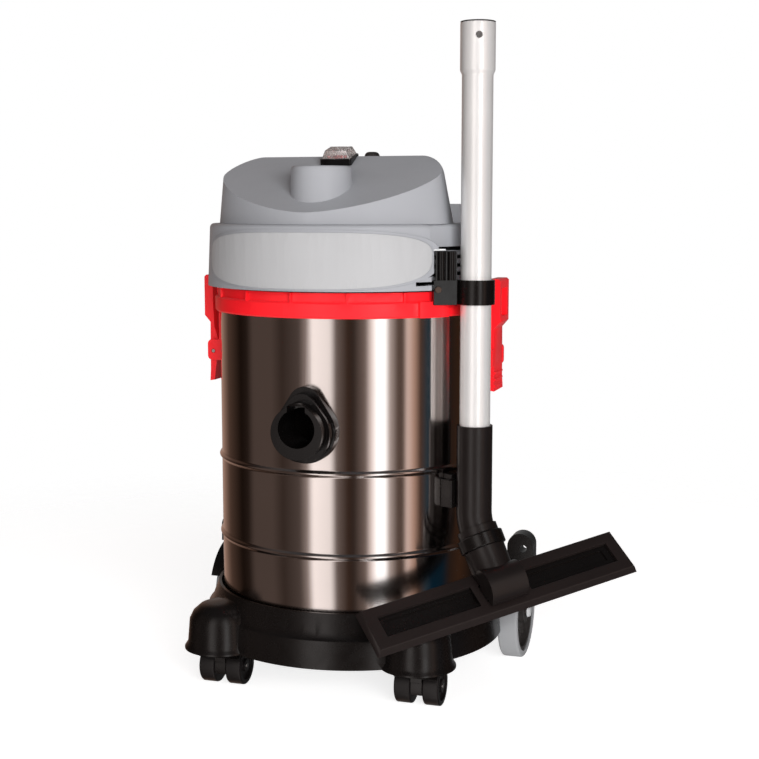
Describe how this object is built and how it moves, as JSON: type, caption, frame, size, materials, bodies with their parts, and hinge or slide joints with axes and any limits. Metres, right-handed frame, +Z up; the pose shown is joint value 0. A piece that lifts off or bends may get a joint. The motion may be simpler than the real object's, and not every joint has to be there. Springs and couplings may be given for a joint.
{
  "type": "shop vacuum",
  "caption": "Wet and dry drum vacuum on a wheeled dolly, with a lift-off motor head, two side latches, and a suction wand and floor nozzle parked upright at the side.",
  "frame": {"origin": "centre of the footprint of the whole object on the floor", "axes": "+Z up, -Y the front with the suction inlet, +X the side that carries the wand"},
  "size_m": [0.591, 0.4332, 0.807],
  "materials": {
    "stainless": "horizontally brushed stainless sheet",
    "red_plastic": "satin moulded red",
    "black_plastic": "satin moulded black",
    "black_gloss": "glossy moulded black",
    "steel": "bright zinc-plated steel",
    "iron": "laminated iron and windings",
    "aluminium": "satin anodised",
    "cap_grey": "light grey moulded",
    "grey_plastic": "satin moulded grey",
    "panel_grey": "satin moulded lighter grey",
    "seal_rubber": "soft black seal",
    "filter_fabric": "pale felt",
    "clear_cap": "clear flexible splash cap",
    "float_white": "smooth white",
    "rocker_red": "glossy translucent red",
    "bristle": "dense black bristle",
    "tyre_grey": "non-marking grey tread",
    "hub_dark": "dark moulded",
    "caster_tyre": "hard black tread"
  },
  "bodies": {
    "base": {"drum": "stainless", "drum_ring": "red_plastic", "dolly": "black_plastic", "caster_sockets": "steel", "rear_axle": "steel", "axle_caps": "cap_grey", "inlet_port": "black_gloss", "inlet_deflector": "black_plastic", "tube_saddle": "black_plastic", "wand_bracket": "black_gloss", "bracket_screw": "iron", "latch_brackets": "red_plastic", "latch_pins": "steel"},
    "head": {"lower_housing": "grey_plastic", "upper_cover": "grey_plastic", "front_panel": "panel_grey", "head_seal": "seal_rubber", "motor_deck": "black_plastic", "fan_shroud": "steel", "motor_case": "steel", "motor_stator": "iron", "motor_bearings": "steel", "filter_frame": "black_plastic", "filter_cloth": "filter_fabric", "float_cage": "black_plastic", "deck_screws": "steel", "switch_frame": "black_gloss", "splash_cap": "clear_cap", "cable_gland": "hub_dark"},
    "rotor": {"motor_shaft": "steel", "armature": "iron", "impeller": "aluminium", "cooling_fan": "black_plastic"},
    "float": {"float_ball": "float_white"},
    "rocker": {"rocker": "rocker_red"},
    "wand": {"wand_tube": "aluminium", "wand_collar": "black_plastic", "elbow_tube": "black_plastic"},
    "neck": {"swivel_ring": "black_plastic", "nozzle_neck": "black_plastic"},
    "nozzle": {"nozzle_body": "black_plastic", "nozzle_sole": "black_plastic", "bristle_strips": "bristle", "pivot_pins": "steel"},
    "latch_left": {"latch_left": "red_plastic"},
    "latch_right": {"latch_right": "red_plastic"},
    "rear_wheel_left": {"rear_wheel_left_tyre": "tyre_grey", "rear_wheel_left_hub": "hub_dark"},
    "rear_wheel_right": {"rear_wheel_right_tyre": "tyre_grey", "rear_wheel_right_hub": "hub_dark"},
    "caster_left": {"caster_left_hood": "black_plastic", "caster_left_stem": "steel", "caster_left_axle": "steel"},
    "caster_left_wheel_a": {"caster_left_wheel_a": "caster_tyre"},
    "caster_left_wheel_b": {"caster_left_wheel_b": "caster_tyre"},
    "caster_right": {"caster_right_hood": "black_plastic", "caster_right_stem": "steel", "caster_right_axle": "steel"},
    "caster_right_wheel_a": {"caster_right_wheel_a": "caster_tyre"},
    "caster_right_wheel_b": {"caster_right_wheel_b": "caster_tyre"}
  },
  "joints": [
    {"name": "head_lift", "type": "slide", "parent": "base", "child": "head", "axis": [0, 0, 1], "range_m": [0, 0.3]},
    {"name": "rotor_spin", "type": "hinge", "parent": "head", "child": "rotor", "pos_m": [-0.0737, -0.006, 0.56], "axis": [0, 0, 1], "continuous": true},
    {"name": "float_rise", "type": "slide", "parent": "head", "child": "float", "axis": [0, 0, 1], "range_m": [0, 0.026]},
    {"name": "switch_rock", "type": "hinge", "parent": "head", "child": "rocker", "pos_m": [-0.0737, -0.02873, 0.65191], "axis": [1, 0, 0], "range_deg": [0, 10]},
    {"name": "wand_lift", "type": "slide", "parent": "base", "child": "wand", "axis": [0, 0, 1], "range_m": [0, 0.12]},
    {"name": "neck_swivel", "type": "hinge", "parent": "wand", "child": "neck", "pos_m": [0.12149, -0.07439, 0.19389], "axis": [0.4265, -0.2462, -0.8704], "range_deg": [-14, 3]},
    {"name": "nozzle_tilt", "type": "hinge", "parent": "neck", "child": "nozzle", "pos_m": [0.14657, -0.08886, 0.14271], "axis": [0.7482, 0.6368, 0.1865], "range_deg": [-8, 8]},
    {"name": "latch_left_rock", "type": "hinge", "parent": "base", "child": "latch_left", "pos_m": [-0.2557, 0.024, 0.409], "axis": [0, -1, 0], "range_deg": [0, 18]},
    {"name": "latch_right_rock", "type": "hinge", "parent": "base", "child": "latch_right", "pos_m": [0.1083, 0.024, 0.409], "axis": [0, 1, 0], "range_deg": [0, 18]},
    {"name": "rear_wheel_left_roll", "type": "hinge", "parent": "base", "child": "rear_wheel_left", "pos_m": [-0.2727, 0.112, 0.0615], "axis": [1, 0, 0], "continuous": true},
    {"name": "rear_wheel_right_roll", "type": "hinge", "parent": "base", "child": "rear_wheel_right", "pos_m": [0.1253, 0.112, 0.0615], "axis": [1, 0, 0], "continuous": true},
    {"name": "caster_left_swivel", "type": "hinge", "parent": "base", "child": "caster_left", "pos_m": [-0.20084, -0.1172, 0.06], "axis": [0, 0, 1], "continuous": true},
    {"name": "caster_left_wheel_a_roll", "type": "hinge", "parent": "caster_left", "child": "caster_left_wheel_a", "pos_m": [-0.20084, -0.1032, 0.024], "axis": [1, 0, 0], "continuous": true},
    {"name": "caster_left_wheel_b_roll", "type": "hinge", "parent": "caster_left", "child": "caster_left_wheel_b", "pos_m": [-0.20084, -0.1032, 0.024], "axis": [1, 0, 0], "continuous": true},
    {"name": "caster_right_swivel", "type": "hinge", "parent": "base", "child": "caster_right", "pos_m": [0.05344, -0.1172, 0.06], "axis": [0, 0, 1], "continuous": true},
    {"name": "caster_right_wheel_a_roll", "type": "hinge", "parent": "caster_right", "child": "caster_right_wheel_a", "pos_m": [0.05344, -0.1032, 0.024], "axis": [1, 0, 0], "continuous": true},
    {"name": "caster_right_wheel_b_roll", "type": "hinge", "parent": "caster_right", "child": "caster_right_wheel_b", "pos_m": [0.05344, -0.1032, 0.024], "axis": [1, 0, 0], "continuous": true}
  ]
}
